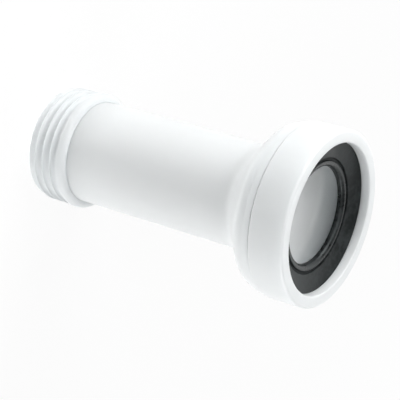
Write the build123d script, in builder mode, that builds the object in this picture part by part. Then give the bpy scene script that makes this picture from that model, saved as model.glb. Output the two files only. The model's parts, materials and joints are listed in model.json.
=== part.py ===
"""Straight rigid toilet pan connector, standing on its outlet end with the inlet mouth up.

Every piece is turned about the Z axis. Z = 0 is the outlet end, and each section is drawn in the XZ plane,
with X as the radius. Lengths are in millimetres and angles in degrees.
"""

import os
from math import radians, tan

from build123d import *

# Tube
total_length = 298.0
tube_od = 97.0
tube_wall = 3.0

# Retaining ring, the widest piece, which sets the socket's size
ring_od = 162.4
ring_wall = 5.5
ring_face = 11.7
ring_length = 34.8
ring_front_fillet = 2.6
ring_mouth_fillet = 1.2
ring_back_fillet = 1.6
ring_clearance = 0.2
seam_gap = 0.8

# Socket rim under the ring
rim_wall = 3.0
rim_throat_fillet = 9.0

# Flare from the tube to the shoulder, and the flange on it that stops the ring
ring_overhang = 1.6
flange_step = 1.6
flange_width = 6.2
flange_edge_fillet = 0.5
shoulder_height = 14.85
shoulder_fillet = 14.0
flare_angle = 50.0
flare_root_fillet = 21.5

# Snap bead on the rim, and the groove for it in the ring
snap_height = 0.8
snap_width = 4.0
snap_above_flange = 7.0

# Inlet seal: flat clamped flange, dished membrane, hinge groove and rounded lip
seal_recess = 9.0
seal_thickness = 4.0
seal_edge_clearance = 0.3
seal_flat_reach = 0.5
dish_angle = 15.6
groove_width = 2.9
groove_depth = 1.9
groove_edge_fillet = 0.6
lip_bore = 89.5
lip_width = 5.6
lip_angle = 4.0
lip_land = 6.1
lip_crest_fillet = 1.0
lip_nose_fillet = 3.8
lip_edge_fillet = 0.4

# Outlet fin seal: sleeve keyed to the tube, thin fins hollowed behind, and a rounded collar
sleeve_clearance = 0.1
sleeve_wall = 2.8
sleeve_end_height = 1.9
sleeve_end_fillet = 1.2
fin_height = 3.6
fin_count = 3
fin_pitch = 8.7
fin_land = 0.8
fin_front = 0.3
fin_back = 1.0
fin_tip_fillet = 0.3
fin_foot_fillet = 0.3
fin_root_fillet = 3.6
first_fin = 8.0
collar_height = 4.4
collar_width = 7.3
collar_round_share = 0.82
key_depth = 1.2
key_width = 5.0
key_height = 12.0

# Radii and heights that follow from the sizes above
tube_radius = tube_od / 2
bore_radius = tube_radius - tube_wall

ring_radius = ring_od / 2
ring_mouth_radius = ring_radius - ring_face
ring_bore_radius = ring_radius - ring_wall
rim_radius = ring_bore_radius - ring_clearance
rim_bore_radius = rim_radius - rim_wall
ring_back = total_length - ring_length
flange_top = ring_back - seam_gap
snap_centre = flange_top + snap_above_flange
snap_low = snap_centre - snap_width / 2
snap_high = snap_centre + snap_width / 2

flange_radius = ring_radius - ring_overhang
flange_low = flange_top - flange_width
shoulder_radius = flange_radius - flange_step
flare_rise = 1 / tan(radians(flare_angle))
flare_end = flange_top - shoulder_height
flare_start = flare_end - (shoulder_radius - tube_radius) * flare_rise
throat_start = flare_start + tube_wall * tan(radians(flare_angle / 2))
throat_end = throat_start + (rim_bore_radius - bore_radius) * flare_rise

seal_face = total_length - seal_recess
seal_foot = seal_face - seal_thickness
seal_radius = ring_bore_radius - seal_edge_clearance
dish_radius = ring_mouth_radius - seal_flat_reach
lip_radius = lip_bore / 2
groove_inner_radius = lip_radius + lip_width
groove_radius = groove_inner_radius + groove_width
dish_foot = seal_face - (dish_radius - groove_radius) * tan(radians(dish_angle))
lip_top = dish_foot - lip_width * tan(radians(lip_angle))

sleeve_bore_radius = tube_radius + sleeve_clearance
sleeve_root_radius = sleeve_bore_radius + sleeve_wall
sleeve_end_radius = sleeve_root_radius + sleeve_end_height
fin_radius = sleeve_root_radius + fin_height
collar_radius = sleeve_root_radius + collar_height
fin_heights = [first_fin + fin * fin_pitch for fin in range(fin_count)]
collar_start = fin_heights[-1] + fin_pitch
collar_back = collar_start + collar_width
collar_back_fillet = collar_width * collar_round_share
key_low = key_height - key_width / 2
key_high = key_height + key_width / 2


def round_corner(section, radius, height, size):
    """Round the corner of a section that lies at this radius and height."""
    fillet(section.vertices().sort_by_distance((radius, height, 0))[0], size)


# Connector body: tube, flare, stop flange and socket rim in one moulding
with BuildPart() as connector_body:
    with BuildSketch(Plane.XZ) as body_section:
        with BuildLine():
            Polyline(
                (bore_radius, 0),
                (tube_radius, 0),
                (tube_radius, key_low),
                (tube_radius - key_depth, key_low),
                (tube_radius - key_depth, key_high),
                (tube_radius, key_high),
                (tube_radius, flare_start),
                (shoulder_radius, flare_end),
                (shoulder_radius, flange_low),
                (flange_radius, flange_low),
                (flange_radius, flange_top),
                (rim_radius, flange_top),
                (rim_radius, snap_low),
                (rim_radius + snap_height, snap_centre),
                (rim_radius, snap_high),
                (rim_radius, seal_foot),
                (rim_bore_radius, seal_foot),
                (rim_bore_radius, throat_end),
                (bore_radius, throat_start),
                close=True,
            )
        make_face()
        round_corner(body_section, tube_radius, flare_start, flare_root_fillet)
        round_corner(body_section, shoulder_radius, flare_end, shoulder_fillet)
        round_corner(body_section, shoulder_radius, flange_low, flange_edge_fillet)
        round_corner(body_section, flange_radius, flange_low, flange_edge_fillet)
        round_corner(body_section, flange_radius, flange_top, flange_edge_fillet)
        round_corner(body_section, rim_bore_radius, throat_end, rim_throat_fillet)
        round_corner(body_section, bore_radius, throat_start, flare_root_fillet + tube_wall)
    revolve(axis=Axis.Z)

connector_body.part.label = "connector_body"


# Retaining ring: front lip over the seal, and a band that snaps over the socket rim
with BuildPart() as seal_retaining_ring:
    with BuildSketch(Plane.XZ) as ring_section:
        with BuildLine():
            Polyline(
                (ring_mouth_radius, seal_face),
                (ring_mouth_radius, total_length),
                (ring_radius, total_length),
                (ring_radius, ring_back),
                (ring_bore_radius, ring_back),
                (ring_bore_radius, snap_low),
                (ring_bore_radius + snap_height, snap_centre),
                (ring_bore_radius, snap_high),
                (ring_bore_radius, seal_face),
                close=True,
            )
        make_face()
        round_corner(ring_section, ring_mouth_radius, total_length, ring_mouth_fillet)
        round_corner(ring_section, ring_radius, total_length, ring_front_fillet)
        round_corner(ring_section, ring_radius, ring_back, ring_back_fillet)
    revolve(axis=Axis.Z)

seal_retaining_ring.part.label = "seal_retaining_ring"


# Inlet seal: the flange lies on the rim's end under the ring, and the lip closes on the pan's spigot
with BuildPart() as inlet_seal:
    with BuildSketch(Plane.XZ) as seal_section:
        with BuildLine():
            Polyline(
                (seal_radius, seal_foot),
                (seal_radius, seal_face),
                (dish_radius, seal_face),
                (groove_radius, dish_foot),
                (groove_radius, dish_foot - groove_depth),
                (groove_inner_radius, dish_foot - groove_depth),
                (groove_inner_radius, dish_foot),
                (lip_radius, lip_top),
                (lip_radius, lip_top - lip_land),
                (groove_inner_radius, dish_foot - seal_thickness),
                (groove_radius, dish_foot - seal_thickness),
                (dish_radius, seal_foot),
                close=True,
            )
        make_face()
        round_corner(seal_section, groove_radius, dish_foot, groove_edge_fillet)
        round_corner(seal_section, groove_inner_radius, dish_foot, lip_crest_fillet)
        round_corner(seal_section, lip_radius, lip_top, lip_nose_fillet)
        round_corner(seal_section, lip_radius, lip_top - lip_land, lip_edge_fillet)
    revolve(axis=Axis.Z)

inlet_seal.part.label = "inlet_seal"


# Outlet fin seal: each fin stands steep towards the outlet and is hollowed behind, where it folds into the pipe
with BuildPart() as outlet_fin_seal:
    with BuildSketch(Plane.XZ) as sleeve_section:
        with BuildLine():
            outer = [(sleeve_bore_radius, 0), (sleeve_end_radius, 0)]
            for tip in fin_heights:
                outer.append((sleeve_root_radius, tip - fin_front))
                outer.append((fin_radius, tip))
                outer.append((fin_radius, tip + fin_land))
                outer.append((sleeve_root_radius, tip + fin_land + fin_back))
            Polyline(
                *outer,
                (sleeve_root_radius, collar_start - fin_front),
                (collar_radius, collar_start),
                (collar_radius, collar_back),
                (sleeve_bore_radius, collar_back),
                (sleeve_bore_radius, key_high - sleeve_clearance),
                (sleeve_bore_radius - key_depth, key_high - sleeve_clearance),
                (sleeve_bore_radius - key_depth, key_low + sleeve_clearance),
                (sleeve_bore_radius, key_low + sleeve_clearance),
                close=True,
            )
        make_face()
        for tip in fin_heights:
            round_corner(sleeve_section, sleeve_root_radius, tip - fin_front, fin_foot_fillet)
            round_corner(sleeve_section, fin_radius, tip, fin_tip_fillet)
            round_corner(sleeve_section, fin_radius, tip + fin_land, fin_tip_fillet)
            round_corner(sleeve_section, sleeve_root_radius, tip + fin_land + fin_back, fin_root_fillet)
        round_corner(sleeve_section, sleeve_end_radius, 0, sleeve_end_fillet)
        round_corner(sleeve_section, sleeve_root_radius, collar_start - fin_front, fin_foot_fillet)
        round_corner(sleeve_section, collar_radius, collar_start, fin_tip_fillet)
        round_corner(sleeve_section, collar_radius, collar_back, collar_back_fillet)
    revolve(axis=Axis.Z)

outlet_fin_seal.part.label = "outlet_fin_seal"


os.makedirs("parts", exist_ok=True)
for piece in (connector_body, seal_retaining_ring, inlet_seal, outlet_fin_seal):
    export_step(piece.part, f"parts/{piece.part.label}.step")
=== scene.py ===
"""Straight toilet pan connector: its four turned pieces, their finishes, and a pale stage.

The file is laid out as an add-on. Lengths are in metres, Z is the connector's axis, and the outlet
end stands on the floor.
"""

import json
import math

import bpy
from bpy.props import FloatProperty, FloatVectorProperty, IntProperty, PointerProperty
from mathutils import Matrix, Vector


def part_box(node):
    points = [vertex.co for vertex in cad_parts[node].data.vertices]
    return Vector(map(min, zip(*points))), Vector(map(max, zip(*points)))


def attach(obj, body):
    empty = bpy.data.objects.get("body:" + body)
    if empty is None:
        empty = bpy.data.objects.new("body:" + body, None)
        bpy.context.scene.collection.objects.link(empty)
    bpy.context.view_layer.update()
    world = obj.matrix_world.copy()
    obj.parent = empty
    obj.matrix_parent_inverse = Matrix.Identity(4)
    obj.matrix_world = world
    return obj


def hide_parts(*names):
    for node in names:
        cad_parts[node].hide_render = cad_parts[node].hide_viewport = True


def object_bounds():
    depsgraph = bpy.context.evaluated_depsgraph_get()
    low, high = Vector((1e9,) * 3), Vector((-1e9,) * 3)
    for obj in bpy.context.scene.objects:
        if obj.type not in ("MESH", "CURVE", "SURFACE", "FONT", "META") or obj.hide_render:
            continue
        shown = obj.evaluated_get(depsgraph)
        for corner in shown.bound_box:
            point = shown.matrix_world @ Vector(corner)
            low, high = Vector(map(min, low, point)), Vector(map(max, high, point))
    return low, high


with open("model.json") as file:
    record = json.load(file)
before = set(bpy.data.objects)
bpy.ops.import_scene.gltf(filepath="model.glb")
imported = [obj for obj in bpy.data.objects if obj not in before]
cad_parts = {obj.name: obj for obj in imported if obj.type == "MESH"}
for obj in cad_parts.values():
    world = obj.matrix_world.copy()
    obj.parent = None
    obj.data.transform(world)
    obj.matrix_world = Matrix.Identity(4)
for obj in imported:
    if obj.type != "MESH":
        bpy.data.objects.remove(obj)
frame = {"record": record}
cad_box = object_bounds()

bl_info = {
    "name": "Pan connector",
    "version": (1, 0, 0),
    "blender": (4, 5, 0),
    "location": "View3D > Sidebar > Pan connector",
    "description": "Builds a straight pan connector with its two seals on a pale stage",
    "category": "Add Mesh",
}

MM = 0.001

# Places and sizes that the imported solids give
body_low, body_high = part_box("connector_body")
ring_low, ring_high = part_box("seal_retaining_ring")
seal_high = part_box("inlet_seal")[1]
fins_low, fins_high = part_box("outlet_fin_seal")
mount_radius = {
    mount["name"]: mount["dims"]["r_mm"] * MM
    for mount in frame["record"]["mounts"]
    if "r_mm" in mount["dims"]
}


def length(label, description, metres):
    """A length that a user may change."""
    return FloatProperty(
        name=label, description=description, default=metres, min=0, unit="LENGTH", precision=5
    )


def angle(label, description, degrees):
    """An angle that a user may change."""
    return FloatProperty(
        name=label, description=description, default=math.radians(degrees), subtype="ANGLE"
    )


def colour(label, description, red, green, blue):
    """A colour that a user may change."""
    return FloatVectorProperty(
        name=label,
        description=description,
        default=(red, green, blue),
        subtype="COLOR",
        min=0,
        max=1,
    )


def level(label, description, value):
    """A light level: what a white card facing the light sends back."""
    return FloatProperty(name=label, description=description, default=value, min=0)


def fraction(label, description, value):
    """A share from 0 to 1 that a user may change."""
    return FloatProperty(
        name=label, description=description, default=value, min=0, max=1, subtype="FACTOR"
    )


def heading(label, description, x, y, z):
    """A direction that a user may change."""
    return FloatVectorProperty(
        name=label, description=description, default=(x, y, z), subtype="DIRECTION"
    )


class BodySizes(bpy.types.PropertyGroup):
    """Sizes of the tube, the flare and the socket rim."""

    tube_radius: length("Tube radius", "Outer radius of the tube", 48.5 * MM)
    tube_wall: length("Tube wall", "Wall of the tube and of the flare", 3.0 * MM)
    flare_angle: angle("Flare angle", "Slope of the flare from the axis", 50.0)
    flare_root: length("Flare root", "Rounding where the tube runs into the flare", 21.5 * MM)
    flange_radius: length(
        "Flange radius", "Outer radius of the flange that stops the ring", body_high.x
    )
    flange_step: length("Flange step", "How far the flange stands out of the shoulder", 1.6 * MM)
    flange_width: length("Flange width", "Width of the flange", 6.2 * MM)
    shoulder_height: length(
        "Shoulder height", "From the flare's upper corner to the flange's face", 14.85 * MM
    )
    shoulder_round: length("Shoulder rounding", "Rounding of the flare's upper corner", 14.0 * MM)
    flange_round: length("Flange rounding", "Rounding of the flange's edges", 0.5 * MM)
    rim_wall: length("Rim wall", "Wall of the socket rim under the ring", 3.0 * MM)
    rim_top: length("Rim top", "Height of the rim's end, where the seal lies", body_high.z)
    throat_round: length(
        "Throat rounding", "Rounding inside the socket where the rim meets the flare", 9.0 * MM
    )
    snap_height: length("Snap height", "How far the snap bead stands out", 0.8 * MM)
    snap_width: length("Snap width", "Width of the snap bead", 4.0 * MM)
    snap_rise: length("Snap rise", "Height of the snap bead above the stop flange", 7.0 * MM)
    key_depth: length("Key depth", "Depth of the groove that holds the outlet seal", 1.2 * MM)
    key_width: length("Key width", "Width of the groove that holds the outlet seal", 5.0 * MM)
    key_height: length("Key height", "Height of the middle of that groove", 12.0 * MM)


class RingSizes(bpy.types.PropertyGroup):
    """Sizes of the ring that holds the inlet seal."""

    radius: length("Radius", "Outer radius of the ring", ring_high.x)
    top: length("Top", "Height of the ring's front face", ring_high.z)
    back: length("Back", "Height of the ring's back edge", ring_low.z)
    face: length("Face", "Width of the front face, out to in", 11.7 * MM)
    wall: length("Wall", "Wall of the band", 5.5 * MM)
    clearance: length("Clearance", "Gap between the band and the socket rim", 0.2 * MM)
    seam_gap: length("Seam gap", "Gap between the ring's back edge and the stop flange", 0.8 * MM)
    front_round: length("Front rounding", "Rounding of the front outer edge", 2.6 * MM)
    mouth_round: length("Mouth rounding", "Rounding of the mouth's edge", 1.2 * MM)
    back_round: length("Back rounding", "Rounding of the back outer edge", 1.6 * MM)


class SealSizes(bpy.types.PropertyGroup):
    """Sizes of the black inlet seal."""

    radius: length("Radius", "Outer radius of the clamped flange", seal_high.x)
    face: length("Face", "Height of the clamped flange's upper face", seal_high.z)
    thickness: length("Thickness", "Thickness of the flange and the membrane", 4.0 * MM)
    flat_reach: length("Flat reach", "How far the flat flange shows inside the ring", 0.5 * MM)
    dish_angle: angle("Dish angle", "Slope of the membrane", 15.6)
    groove_width: length("Groove width", "Width of the hinge groove", 2.9 * MM)
    groove_depth: length("Groove depth", "Depth of the hinge groove", 1.9 * MM)
    groove_round: length("Groove rounding", "Rounding of the groove's outer edge", 0.6 * MM)
    lip_radius: length("Lip radius", "Radius of the hole", mount_radius["pan_inlet"])
    lip_width: length("Lip width", "From the hole to the hinge groove", 5.6 * MM)
    lip_angle: angle("Lip angle", "Slope of the lip's upper side", 4.0)
    lip_land: length("Lip land", "Height of the lip in the hole", 6.1 * MM)
    lip_crest: length("Lip crest", "Rounding of the lip's edge at the hinge groove", 1.0 * MM)
    lip_nose: length("Lip nose", "Rounding of the lip's upper edge in the hole", 3.8 * MM)
    lip_round: length("Lip rounding", "Rounding of the lip's lower edge in the hole", 0.4 * MM)


class FinSizes(bpy.types.PropertyGroup):
    """Sizes of the white outlet seal and its fins."""

    clearance: length("Clearance", "Gap between the sleeve and the tube", 0.1 * MM)
    fin_radius: length("Fin radius", "Outer radius of the fins", mount_radius["soil_outlet"])
    fin_height: length("Fin height", "How far a fin stands out of the sleeve", 3.6 * MM)
    fin_count: IntProperty(name="Fins", description="Number of fins", default=3, min=1)
    fin_pitch: length("Fin pitch", "From one fin to the next", 8.7 * MM)
    first_fin: length("First fin", "Height of the lowest fin's tip", 8.0 * MM)
    fin_land: length("Fin land", "Width of a fin's tip", 0.8 * MM)
    fin_front: length("Fin front", "How far a fin's lower flank leans out to its foot", 0.3 * MM)
    fin_back: length("Fin back", "How far a fin's upper flank leans out to its foot", 1.0 * MM)
    tip_round: length("Tip rounding", "Rounding of a fin's tip and of the foot below it", 0.3 * MM)
    root_round: length(
        "Root rounding", "Hollow behind a fin, where it runs into the sleeve", 3.6 * MM
    )
    end_height: length("End height", "How far the sleeve's end stands out of its root", 1.9 * MM)
    end_round: length("End rounding", "Rounding of the sleeve's end", 1.2 * MM)
    collar_radius: length("Collar radius", "Outer radius of the collar", fins_high.x)
    collar_back: length("Collar back", "Height of the collar's back face", fins_high.z)
    collar_width: length("Collar width", "Width of the collar", 7.3 * MM)
    collar_round: fraction(
        "Collar rounding", "Rounding of the collar's back, as a share of its width", 0.82
    )


class Finishes(bpy.types.PropertyGroup):
    """Colours of the three materials."""

    white: colour("White moulding", "Polypropylene of the body and the ring", 0.84, 0.87, 0.878)
    white_drift: colour("White drift", "Where the melt ran a shade cooler", 0.815, 0.848, 0.858)
    soft: colour("Soft white", "Elastomer of the outlet seal", 0.75, 0.772, 0.78)
    soft_drift: colour("Soft white drift", "Where the elastomer is duller", 0.725, 0.75, 0.76)
    black: colour("Black rubber", "Rubber of the inlet seal", 0.002, 0.0025, 0.0027)
    bloom: colour("Bloom", "Pale bloom on the black rubber", 0.022, 0.0245, 0.0255)


class StageSettings(bpy.types.PropertyGroup):
    """The camera, the lamps and the floor."""

    camera_distance: length("Camera distance", "From the camera to the point it looks at", 1.5561)
    camera_height: angle("Camera elevation", "How far the camera looks down", 30.56)
    camera_roll: angle("Camera roll", "Turn of the camera about its view", 106.635)
    camera_aside: length("Aim aside", "Where the camera looks, along X", 15.9 * MM)
    camera_aim: length("Aim height", "Where the camera looks, along Z", 164.6 * MM)
    lens: FloatProperty(
        name="Lens", description="Focal length of the camera", default=153.0, min=1, unit="CAMERA"
    )
    key: level("Key", "Soft lamp on the upper side of the picture", 0.72)
    key_from: heading("Key from", "Where the key lamp hangs", -0.82, -0.2, 0.5)
    fill: level("Fill", "Soft lamp on the lower side of the picture", 0.62)
    fill_from: heading("Fill from", "Where the fill lamp hangs", 0.965, -0.02, 0.17)
    top: level("Top", "Soft lamp over the mouth", 0.32)
    top_from: heading("Top from", "Where the top lamp hangs", -0.15, -0.54, 0.83)
    back: level("Back", "Weak lamp behind the connector", 0.25)
    back_from: heading("Back from", "Where the back lamp hangs", -0.25, 0.92, 0.3)
    under: level("Under", "Round lamp on the floor that shines up at the flare", 1.0)
    under_radius: length("Under radius", "Radius of the lamp on the floor", 0.09)
    under_spread: angle("Under spread", "How widely the lamp on the floor fans out", 75.0)
    ambient: level("Ambient", "Even light from all round", 0.12)
    ceiling: fraction("Ceiling", "How bright the ceiling shows in reflections", 0.05)
    ceiling_low: fraction("Ceiling low", "Upward share where the ceiling begins", 0.6)
    ceiling_high: fraction("Ceiling high", "Upward share where the ceiling is full", 0.92)
    lamp_size: length("Lamp size", "Side of the key lamp and the fill lamp", 1.0)
    top_size: length("Top size", "Side of the top lamp", 0.9)
    back_size: length("Back size", "Side of the back lamp", 2.0)
    key_distance: length("Key distance", "From the key lamp to the connector", 1.4)
    lamp_distance: length("Lamp distance", "From each other lamp to the connector", 1.5)
    floor_radius: length("Floor radius", "Radius of the round floor", 1.5)
    floor: colour("Floor", "Colour of the floor", 0.92, 0.92, 0.92)
    floor_white: fraction("Floor white", "Share of plain white in the floor as seen", 0.9)
    floor_fade: fraction("Floor fade", "Share of the radius where the fade to white begins", 0.15)


class ConnectorSettings(bpy.types.PropertyGroup):
    """All settings of the connector."""

    body: PointerProperty(type=BodySizes)
    ring: PointerProperty(type=RingSizes)
    seal: PointerProperty(type=SealSizes)
    fins: PointerProperty(type=FinSizes)
    finishes: PointerProperty(type=Finishes)
    stage: PointerProperty(type=StageSettings)


# Turned pieces

# Facets round the axis
TURNS = 288

# The most that one facet of a rounding turns, and the fewest facets that a rounding has
ARC_STEP = math.radians(7.5)
ARC_FACETS = 2

# Rounding of a plain edge
CRISP = 0.2 * MM


def rounded(corners):
    """Points and outward normals along a closed outline, with every corner rounded.

    Each corner is (radius, height, rounding). The outline runs anticlockwise, with the material on
    its left.
    """
    outline = []
    for index, (radius, height, rounding) in enumerate(corners):
        here = Vector((radius, height))
        before = Vector(corners[index - 1][:2])
        after = Vector(corners[(index + 1) % len(corners)][:2])
        along = (here - before).normalized()
        onward = (after - here).normalized()
        turn = math.atan2(along.cross(onward), along.dot(onward))
        side = math.copysign(1, turn)
        left = Vector((-along.y, along.x)) * side
        start = here - along * rounding * math.tan(abs(turn) / 2)
        centre = start + left * rounding
        steps = max(ARC_FACETS, math.ceil(abs(turn) / ARC_STEP))
        for step in range(steps + 1):
            spoke = Matrix.Rotation(turn * step / steps, 2) @ -left
            outline.append((centre + spoke * rounding, spoke * side))
    return outline


def turned(name, corners, finish):
    """A piece made by turning an outline about the Z axis."""
    outline = rounded(corners)
    count = len(outline)
    points = []
    normals = []
    for turn in range(TURNS):
        cosine = math.cos(math.tau * turn / TURNS)
        sine = math.sin(math.tau * turn / TURNS)
        for point, normal in outline:
            points.append((point.x * cosine, point.x * sine, point.y))
            normals.append((normal.x * cosine, normal.x * sine, normal.y))
    faces = []
    for turn in range(TURNS):
        this = turn * count
        following = (turn + 1) % TURNS * count
        for index in range(count):
            beyond = (index + 1) % count
            faces.append((this + index, following + index, following + beyond, this + beyond))
    mesh = bpy.data.meshes.new(name)
    mesh.from_pydata(points, [], faces)
    if mesh.validate():
        raise RuntimeError(f"the outline of {name} makes a broken mesh")
    mesh.shade_smooth()
    mesh.normals_split_custom_set_from_vertices(normals)
    mesh.materials.append(finish)
    piece = bpy.data.objects.new(name, mesh)
    bpy.context.scene.collection.objects.link(piece)
    return piece


def seat(piece, node):
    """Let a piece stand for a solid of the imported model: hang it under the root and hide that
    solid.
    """
    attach(piece, "root")
    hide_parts(node)


def body_outline(body, ring):
    """Section of the tube, the flare, the stop flange and the socket rim."""
    bore = body.tube_radius - body.tube_wall
    rim = ring.radius - ring.wall - ring.clearance
    rim_bore = rim - body.rim_wall
    flange = ring.back - ring.seam_gap
    snap = flange + body.snap_rise
    slope = 1 / math.tan(body.flare_angle)
    flare_top = flange - body.shoulder_height
    shoulder = body.flange_radius - body.flange_step
    flare_foot = flare_top - (shoulder - body.tube_radius) * slope
    throat_foot = flare_foot + body.tube_wall * math.tan(body.flare_angle / 2)
    throat_top = throat_foot + (rim_bore - bore) * slope
    key_low = body.key_height - body.key_width / 2
    key_high = body.key_height + body.key_width / 2
    key_floor = body.tube_radius - body.key_depth
    return [
        (bore, body_low.z, CRISP),
        (body.tube_radius, body_low.z, CRISP),
        (body.tube_radius, key_low, CRISP),
        (key_floor, key_low, CRISP),
        (key_floor, key_high, CRISP),
        (body.tube_radius, key_high, CRISP),
        (body.tube_radius, flare_foot, body.flare_root),
        (shoulder, flare_top, body.shoulder_round),
        (shoulder, flange - body.flange_width, body.flange_round),
        (body.flange_radius, flange - body.flange_width, body.flange_round),
        (body.flange_radius, flange, body.flange_round),
        (rim, flange, CRISP),
        (rim, snap - body.snap_width / 2, CRISP),
        (rim + body.snap_height, snap, CRISP),
        (rim, snap + body.snap_width / 2, CRISP),
        (rim, body.rim_top, CRISP),
        (rim_bore, body.rim_top, CRISP),
        (rim_bore, throat_top, body.throat_round),
        (bore, throat_foot, body.flare_root + body.tube_wall),
    ]


def ring_outline(ring, body, seal):
    """Section of the retaining ring: the lip over the seal, and the band with its snap groove."""
    mouth = ring.radius - ring.face
    bore = ring.radius - ring.wall
    snap = ring.back - ring.seam_gap + body.snap_rise
    return [
        (mouth, seal.face, CRISP),
        (bore, seal.face, CRISP),
        (bore, snap + body.snap_width / 2, CRISP),
        (bore + body.snap_height, snap, CRISP),
        (bore, snap - body.snap_width / 2, CRISP),
        (bore, ring.back, CRISP),
        (ring.radius, ring.back, ring.back_round),
        (ring.radius, ring.top, ring.front_round),
        (mouth, ring.top, ring.mouth_round),
    ]


def seal_outline(seal, ring):
    """Section of the inlet seal: clamped flange, dished membrane, hinge groove and lip."""
    dish = ring.radius - ring.face - seal.flat_reach
    groove_inner = seal.lip_radius + seal.lip_width
    groove_outer = groove_inner + seal.groove_width
    foot = seal.face - seal.thickness
    dish_foot = seal.face - (dish - groove_outer) * math.tan(seal.dish_angle)
    groove_floor = dish_foot - seal.groove_depth
    lip_top = dish_foot - seal.lip_width * math.tan(seal.lip_angle)
    under = dish_foot - seal.thickness
    return [
        (seal.radius, foot, CRISP),
        (seal.radius, seal.face, CRISP),
        (dish, seal.face, CRISP),
        (groove_outer, dish_foot, seal.groove_round),
        (groove_outer, groove_floor, CRISP),
        (groove_inner, groove_floor, CRISP),
        (groove_inner, dish_foot, seal.lip_crest),
        (seal.lip_radius, lip_top, seal.lip_nose),
        (seal.lip_radius, lip_top - seal.lip_land, seal.lip_round),
        (groove_inner, under, CRISP),
        (groove_outer, under, CRISP),
        (dish, foot, CRISP),
    ]


def fin_outline(fins, body):
    """Section of the outlet seal: thin fins hollowed behind, a collar, and a rib in the groove."""
    bore = body.tube_radius + fins.clearance
    root = fins.fin_radius - fins.fin_height
    key_low = body.key_height - body.key_width / 2 + fins.clearance
    key_high = body.key_height + body.key_width / 2 - fins.clearance
    key_end = bore - body.key_depth
    collar_front = fins.collar_back - fins.collar_width
    outline = [
        (bore, fins_low.z, CRISP),
        (root + fins.end_height, fins_low.z, fins.end_round),
    ]
    for fin in range(fins.fin_count):
        tip = fins.first_fin + fin * fins.fin_pitch
        outline += [
            (root, tip - fins.fin_front, fins.tip_round),
            (fins.fin_radius, tip, fins.tip_round),
            (fins.fin_radius, tip + fins.fin_land, fins.tip_round),
            (root, tip + fins.fin_land + fins.fin_back, fins.root_round),
        ]
    return outline + [
        (root, collar_front - fins.fin_front, fins.tip_round),
        (fins.collar_radius, collar_front, fins.tip_round),
        (fins.collar_radius, fins.collar_back, fins.collar_width * fins.collar_round),
        (bore, fins.collar_back, CRISP),
        (bore, key_high, CRISP),
        (key_end, key_high, CRISP),
        (key_end, key_low, CRISP),
        (bore, key_low, CRISP),
    ]


# Shader maths

WHITE = (1.0, 1.0, 1.0, 1.0)

# Places of a Mix node's factor, its two colours and its resulting colour among its sockets
MIX_FACTOR = 0
MIX_FIRST = 6
MIX_SECOND = 7
MIX_RESULT = 2


class Wire:
    """A value in a shader. Arithmetic on it adds the Math nodes that it needs."""

    def __init__(self, shader, socket):
        self.shader = shader
        self.socket = socket

    def math(self, operation, *values):
        """The result of a Math node on these values."""
        return self.shader.node("ShaderNodeMath", {"operation": operation}, dict(enumerate(values)))

    def __add__(self, other):
        return self.math("ADD", self, other)

    def __radd__(self, other):
        return self.math("ADD", other, self)

    def __sub__(self, other):
        return self.math("SUBTRACT", self, other)

    def __rsub__(self, other):
        return self.math("SUBTRACT", other, self)

    def __mul__(self, other):
        return self.math("MULTIPLY", self, other)

    def __rmul__(self, other):
        return self.math("MULTIPLY", other, self)


class Shader:
    """A node tree, emptied and then filled one node at a time."""

    def __init__(self, tree):
        self.tree = tree
        self.tree.nodes.clear()

    def node(self, kind, settings=None, sockets=None, output=0):
        """Add a node: its settings first, then the values or links of its sockets."""
        node = self.tree.nodes.new(kind)
        for name, value in (settings or {}).items():
            setattr(node, name, value)
        for name, value in (sockets or {}).items():
            if isinstance(value, Wire):
                self.tree.links.new(value.socket, node.inputs[name])
            else:
                node.inputs[name].default_value = value
        return Wire(self, node.outputs[output]) if node.outputs else node

    def place(self):
        """Where a point lies on its piece, in metres."""
        return self.node("ShaderNodeTexCoord", output="Object")

    def stretched(self, scale):
        """That place, scaled along each axis."""
        sockets = {0: self.place(), 1: scale}
        return self.node("ShaderNodeVectorMath", {"operation": "MULTIPLY"}, sockets)

    def radius(self):
        """How far a point lies from the connector's axis, in metres."""
        flat = self.stretched((1.0, 1.0, 0.0))
        return self.node("ShaderNodeVectorMath", {"operation": "LENGTH"}, {0: flat}, output="Value")

    def noise(self, where, scale, detail):
        """Soft noise from 0 to 1."""
        sockets = {"Vector": where, "Scale": scale, "Detail": detail}
        return self.node("ShaderNodeTexNoise", {"normalize": True}, sockets)

    def ease(self, value, low, high):
        """A mask that rises smoothly from 0 at low to 1 at high."""
        sockets = {"Value": value, "From Min": low, "From Max": high}
        return self.node("ShaderNodeMapRange", {"interpolation_type": "SMOOTHSTEP"}, sockets)

    def blend(self, mask, first, second):
        """A colour between two others."""
        sockets = {MIX_FACTOR: mask, MIX_FIRST: first, MIX_SECOND: second}
        return self.node("ShaderNodeMix", {"data_type": "RGBA"}, sockets, output=MIX_RESULT)

    def bump(self, height, depth):
        """A normal bent by a height from 0 to 1 that stands for this depth."""
        sockets = {"Strength": 1.0, "Distance": depth, "Height": height}
        return self.node("ShaderNodeBump", {}, sockets)


# Finishes

# Where a slow change of tone begins and is full, in the noise that it comes from
DRIFT_LOW = 0.35
DRIFT_HIGH = 0.7


def new_finish(name):
    """An empty material and its shader."""
    material = bpy.data.materials.new(name)
    material.use_nodes = True
    return material, Shader(material.node_tree)


def rgba(tone):
    """A colour property as a socket takes it."""
    return (*tone, 1.0)


def finish_named(make, settings):
    """The finish of this maker's name, made if it isn't there yet."""
    return bpy.data.materials.get(make.__name__) or make(settings)


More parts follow.
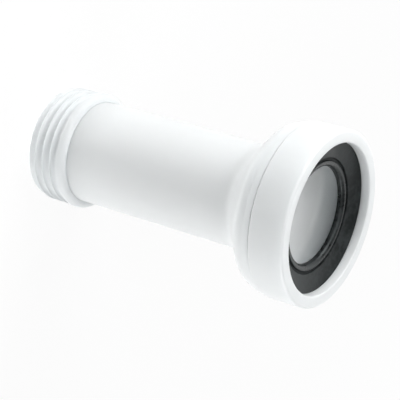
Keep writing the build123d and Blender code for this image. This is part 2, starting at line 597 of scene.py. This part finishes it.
def satin_white(settings):
    """Satin polypropylene: a slow drift of tone, a fine peel, and faint rubs along the tube."""
    colours = settings.finishes
    drift_stretch = (1.0, 1.0, 0.45)
    rub_stretch = (520.0, 520.0, 11.0)
    plain_roughness = 0.3
    cloud_roughness = 0.1
    rub_roughness = 0.1
    rub_height = 0.15
    peel_depth = 0.012 * MM
    material, shader = new_finish("satin_white")
    place = shader.place()
    tone = shader.noise(shader.stretched(drift_stretch), scale=16.0, detail=3.0)
    drift = shader.ease(tone, low=DRIFT_LOW, high=DRIFT_HIGH)
    cloud = shader.noise(place, scale=75.0, detail=4.0)
    peel = shader.noise(place, scale=420.0, detail=2.0)
    streaks = shader.noise(shader.stretched(rub_stretch), scale=1.0, detail=3.0)
    rubs = shader.ease(streaks, low=0.62, high=0.76)
    surface = shader.node(
        "ShaderNodeBsdfPrincipled",
        {},
        {
            "Base Color": shader.blend(drift, rgba(colours.white), rgba(colours.white_drift)),
            "Roughness": plain_roughness + cloud_roughness * cloud + rub_roughness * rubs,
            "IOR": 1.49,
            "Subsurface Weight": 0.6,
            "Subsurface Radius": (1.0, 1.0, 1.0),
            "Subsurface Scale": 12.0 * MM,
            "Normal": shader.bump(peel + rub_height * rubs, peel_depth),
        },
    )
    shader.node("ShaderNodeOutputMaterial", {}, {"Surface": surface})
    return material


def soft_white(settings):
    """Soft white elastomer: duller than the moulding, with a fine grain."""
    colours = settings.finishes
    plain_roughness = 0.46
    cloud_roughness = 0.12
    grain_depth = 0.008 * MM
    material, shader = new_finish("soft_white")
    place = shader.place()
    tone = shader.noise(place, scale=24.0, detail=3.0)
    drift = shader.ease(tone, low=DRIFT_LOW, high=DRIFT_HIGH)
    cloud = shader.noise(place, scale=90.0, detail=4.0)
    grain = shader.noise(place, scale=1500.0, detail=2.0)
    surface = shader.node(
        "ShaderNodeBsdfPrincipled",
        {},
        {
            "Base Color": shader.blend(drift, rgba(colours.soft), rgba(colours.soft_drift)),
            "Roughness": plain_roughness + cloud_roughness * cloud,
            "IOR": 1.5,
            "Normal": shader.bump(grain, grain_depth),
        },
    )
    shader.node("ShaderNodeOutputMaterial", {}, {"Surface": surface})
    return material


def matt_black(settings):
    """Matt black rubber: mould rings, a fine grain, a patchy bloom and a smoother lip."""
    colours = settings.finishes
    lip_edge = settings.seal.lip_radius + settings.seal.lip_width
    groove_edge = lip_edge + settings.seal.groove_width
    soft_edge = 0.4 * MM
    tooling_pitch = 0.7 * MM
    patch_share = 0.55
    plain_roughness = 0.4
    bloom_roughness = 0.15
    grain_roughness = 0.05
    groove_roughness = 0.18
    lip_smoothness = 0.16
    tooling_height = 0.12
    mottle_height = 4.0
    grain_depth = 0.02 * MM
    material, shader = new_finish("matt_black")
    place = shader.place()
    radius = shader.radius()
    tooling = radius.math("SINE", radius * (math.tau / tooling_pitch))
    mottle = shader.noise(place, scale=260.0, detail=3.0)
    patches = shader.noise(place, scale=55.0, detail=5.0)
    bloom = shader.ease(patch_share * patches + (1 - patch_share) * mottle, low=0.42, high=0.62)
    grain = shader.noise(place, scale=1900.0, detail=3.0)
    past_lip = shader.ease(radius, lip_edge - soft_edge, lip_edge + soft_edge)
    past_groove = shader.ease(radius, groove_edge - soft_edge, groove_edge + soft_edge)
    lip = 1 - past_lip
    groove = past_lip - past_groove
    roughness = plain_roughness + bloom_roughness * bloom + grain_roughness * grain
    relief = grain + tooling_height * tooling + mottle_height * mottle
    surface = shader.node(
        "ShaderNodeBsdfPrincipled",
        {},
        {
            "Base Color": shader.blend(bloom, rgba(colours.black), rgba(colours.bloom)),
            "Roughness": roughness + groove_roughness * groove - lip_smoothness * lip,
            "IOR": 1.5,
            "Specular IOR Level": 0.29,
            "Specular Tint": (0.9, 1.0, 1.0, 1.0),
            "Normal": shader.bump(relief, grain_depth),
        },
    )
    shader.node("ShaderNodeOutputMaterial", {}, {"Surface": surface})
    return material


# Stage

# How far the floor, the lamp that lies on it and the lid under the bore stay below the outlet end
FLOOR_DROP = 0.6 * MM
LAMP_DROP = 0.4 * MM
LID_DROP = 0.2 * MM

# Width of the camera's sensor, in millimetres
SENSOR_WIDTH = 36.0


def seen_directly(shader):
    """1 on rays that look straight or through glass, and 0 on others."""
    straight = shader.node("ShaderNodeLightPath", output="Is Camera Ray")
    through = shader.node("ShaderNodeLightPath", output="Is Transmission Ray")
    return straight.math("MAXIMUM", straight, through)


def light_world(stage):
    """Even light from all round, seen as plain white, with a dark ceiling in reflections."""
    world = bpy.data.worlds.new("studio")
    world.use_nodes = True
    shader = Shader(world.node_tree)
    toward = shader.node("ShaderNodeTexCoord", output="Generated")
    sockets = {0: toward, 1: (0.0, 0.0, 1.0)}
    upward = shader.node(
        "ShaderNodeVectorMath", {"operation": "DOT_PRODUCT"}, sockets, output="Value"
    )
    ceiling = shader.ease(upward, stage.ceiling_low, stage.ceiling_high)
    glossy = shader.node("ShaderNodeLightPath", output="Is Glossy Ray")
    mirrored = glossy * (1 - (1 - stage.ceiling) * ceiling)
    seen = mirrored.math("MAXIMUM", seen_directly(shader), mirrored)
    strength = stage.ambient + (1 - stage.ambient) * seen
    light = shader.node("ShaderNodeBackground", {}, {"Color": WHITE, "Strength": strength})
    shader.node("ShaderNodeOutputWorld", {}, {"Surface": light})
    bpy.context.scene.world = world


def lay_floor(stage, lid_radius):
    """A pale floor that the camera sees as near white, with the connector's shadow on it.

    A lid over the lamp on the floor keeps its light out of the tube.
    """
    points = []
    for radius, drop in ((stage.floor_radius, FLOOR_DROP), (lid_radius, LID_DROP)):
        for turn in range(TURNS):
            spoke = Matrix.Rotation(math.tau * turn / TURNS, 3, "Z") @ Vector((radius, 0, 0))
            points.append(spoke + Vector((0, 0, body_low.z - drop)))
    mesh = bpy.data.meshes.new("floor")
    mesh.from_pydata(points, [], [range(TURNS), range(TURNS, 2 * TURNS)])
    floor = bpy.data.objects.new("floor", mesh)
    bpy.context.scene.collection.objects.link(floor)
    material, shader = new_finish("pale_floor")
    matt = shader.node("ShaderNodeBsdfDiffuse", {}, {"Color": rgba(stage.floor)})
    white = shader.node("ShaderNodeEmission", {}, {"Color": WHITE, "Strength": 1.0})
    mirrored = shader.node("ShaderNodeLightPath", output="Is Glossy Ray")
    seen = mirrored.math("MAXIMUM", seen_directly(shader), mirrored)
    edge = shader.ease(shader.radius(), stage.floor_fade * stage.floor_radius, stage.floor_radius)
    share = seen * (stage.floor_white + (1 - stage.floor_white) * edge)
    surface = shader.node("ShaderNodeMixShader", {}, {0: share, 1: matt, 2: white})
    shader.node("ShaderNodeOutputMaterial", {}, {"Surface": surface})
    mesh.materials.append(material)


def hang_lamp(name, light, direction, size, distance):
    """A square soft lamp that looks at the middle of the connector from this direction.

    Its light is set against the share of a full dome's light that a lamp of its size gives there.
    """
    middle = (cad_box[0] + cad_box[1]) / 2
    toward = Vector(direction).normalized()
    reach = size / 2 / math.hypot(size / 2, distance)
    share = 4 / math.pi * reach * math.atan(reach)
    data = bpy.data.lights.new(name, "AREA")
    data.shape = "SQUARE"
    data.size = size
    data.energy = light / share * math.pi * size**2
    lamp = bpy.data.objects.new(name, data)
    lamp.location = middle + toward * distance
    lamp.rotation_euler = toward.to_track_quat("Z", "Y").to_euler()
    bpy.context.scene.collection.objects.link(lamp)


def lay_lamp(name, light, radius, height, spread):
    """A round lamp on the connector's axis that looks up and stays out of the picture.

    Its light is set as the brightness of its face.
    """
    data = bpy.data.lights.new(name, "AREA")
    data.shape = "DISK"
    data.size = 2 * radius
    data.spread = spread
    data.energy = light * (math.pi * radius) ** 2
    lamp = bpy.data.objects.new(name, data)
    lamp.location = (0, 0, height)
    lamp.rotation_euler = (math.pi, 0, 0)
    lamp.visible_camera = False
    bpy.context.scene.collection.objects.link(lamp)


def place_camera(stage):
    """The camera looks down at the connector, rolled so that its axis lies across the picture."""
    data = bpy.data.cameras.new("camera")
    data.sensor_width = SENSOR_WIDTH
    data.lens = stage.lens
    camera = bpy.data.objects.new("camera", data)
    tilt = Matrix.Rotation(math.pi / 2 - stage.camera_height, 4, "X")
    roll = Matrix.Rotation(stage.camera_roll, 4, "Z")
    aim = Vector((stage.camera_aside, 0, stage.camera_aim))
    back = tilt @ Vector((0, 0, stage.camera_distance))
    camera.matrix_world = Matrix.Translation(aim + back) @ tilt @ roll
    bpy.context.scene.collection.objects.link(camera)
    bpy.context.scene.camera = camera


# Operators, panel and registration


class CONNECTOR_OT_body(bpy.types.Operator):
    """Build the body: tube, flare, stop flange and socket rim in one moulding"""

    bl_idname = "connector.body"
    bl_label = "Connector body"

    def execute(self, context):
        settings = context.scene.connector
        outline = body_outline(settings.body, settings.ring)
        piece = turned("body_moulding", outline, finish_named(satin_white, settings))
        seat(piece, "connector_body")
        return {"FINISHED"}


class CONNECTOR_OT_ring(bpy.types.Operator):
    """Build the ring that snaps over the socket rim and holds the inlet seal"""

    bl_idname = "connector.ring"
    bl_label = "Seal retaining ring"

    def execute(self, context):
        settings = context.scene.connector
        outline = ring_outline(settings.ring, settings.body, settings.seal)
        piece = turned("retaining_ring", outline, finish_named(satin_white, settings))
        seat(piece, "seal_retaining_ring")
        return {"FINISHED"}


class CONNECTOR_OT_inlet_seal(bpy.types.Operator):
    """Build the black seal that closes on the pan's spigot"""

    bl_idname = "connector.inlet_seal"
    bl_label = "Inlet seal"

    def execute(self, context):
        settings = context.scene.connector
        outline = seal_outline(settings.seal, settings.ring)
        piece = turned("lip_seal", outline, finish_named(matt_black, settings))
        seat(piece, "inlet_seal")
        return {"FINISHED"}


class CONNECTOR_OT_outlet_seal(bpy.types.Operator):
    """Build the white finned seal that closes in the soil pipe"""

    bl_idname = "connector.outlet_seal"
    bl_label = "Outlet fin seal"

    def execute(self, context):
        settings = context.scene.connector
        outline = fin_outline(settings.fins, settings.body)
        piece = turned("fin_seal", outline, finish_named(soft_white, settings))
        seat(piece, "outlet_fin_seal")
        return {"FINISHED"}


class CONNECTOR_OT_stage(bpy.types.Operator):
    """Set the floor, the lamps, the world and the camera"""

    bl_idname = "connector.stage"
    bl_label = "Stage"

    def execute(self, context):
        stage = context.scene.connector.stage
        body = context.scene.connector.body
        context.scene.view_settings.view_transform = "Standard"
        light_world(stage)
        lay_floor(stage, body.tube_radius)
        hang_lamp("key", stage.key, stage.key_from, stage.lamp_size, stage.key_distance)
        hang_lamp("fill", stage.fill, stage.fill_from, stage.lamp_size, stage.lamp_distance)
        hang_lamp("top", stage.top, stage.top_from, stage.top_size, stage.lamp_distance)
        hang_lamp("back", stage.back, stage.back_from, stage.back_size, stage.lamp_distance)
        lamp_height = body_low.z - LAMP_DROP
        lay_lamp("under", stage.under, stage.under_radius, lamp_height, stage.under_spread)
        place_camera(stage)
        return {"FINISHED"}


class VIEW3D_PT_connector(bpy.types.Panel):
    """Lists the pieces to build, with their sizes and colours"""

    bl_label = "Pan connector"
    bl_idname = "VIEW3D_PT_connector"
    bl_space_type = "VIEW_3D"
    bl_region_type = "UI"
    bl_category = "Pan connector"

    def draw(self, context):
        settings = context.scene.connector
        for operator in OPERATORS:
            self.layout.operator(operator.bl_idname)
        for group in ("body", "ring", "seal", "fins", "finishes", "stage"):
            box = self.layout.box()
            box.label(text=group.capitalize())
            for name in getattr(settings, group).__annotations__:
                box.prop(getattr(settings, group), name)


GROUPS = (BodySizes, RingSizes, SealSizes, FinSizes, Finishes, StageSettings, ConnectorSettings)
OPERATORS = (
    CONNECTOR_OT_body,
    CONNECTOR_OT_ring,
    CONNECTOR_OT_inlet_seal,
    CONNECTOR_OT_outlet_seal,
    CONNECTOR_OT_stage,
)


def register():
    """Add the classes and the scene's settings."""
    for kind in (*GROUPS, *OPERATORS, VIEW3D_PT_connector):
        bpy.utils.register_class(kind)
    bpy.types.Scene.connector = PointerProperty(type=ConnectorSettings)


def unregister():
    """Take the settings and the classes away again."""
    del bpy.types.Scene.connector
    for kind in reversed((*GROUPS, *OPERATORS, VIEW3D_PT_connector)):
        bpy.utils.unregister_class(kind)


def main():
    """Build every piece and the stage."""
    register()
    bpy.ops.connector.body()
    bpy.ops.connector.ring()
    bpy.ops.connector.inlet_seal()
    bpy.ops.connector.outlet_seal()
    bpy.ops.connector.stage()


if __name__ == "__main__":
    main()
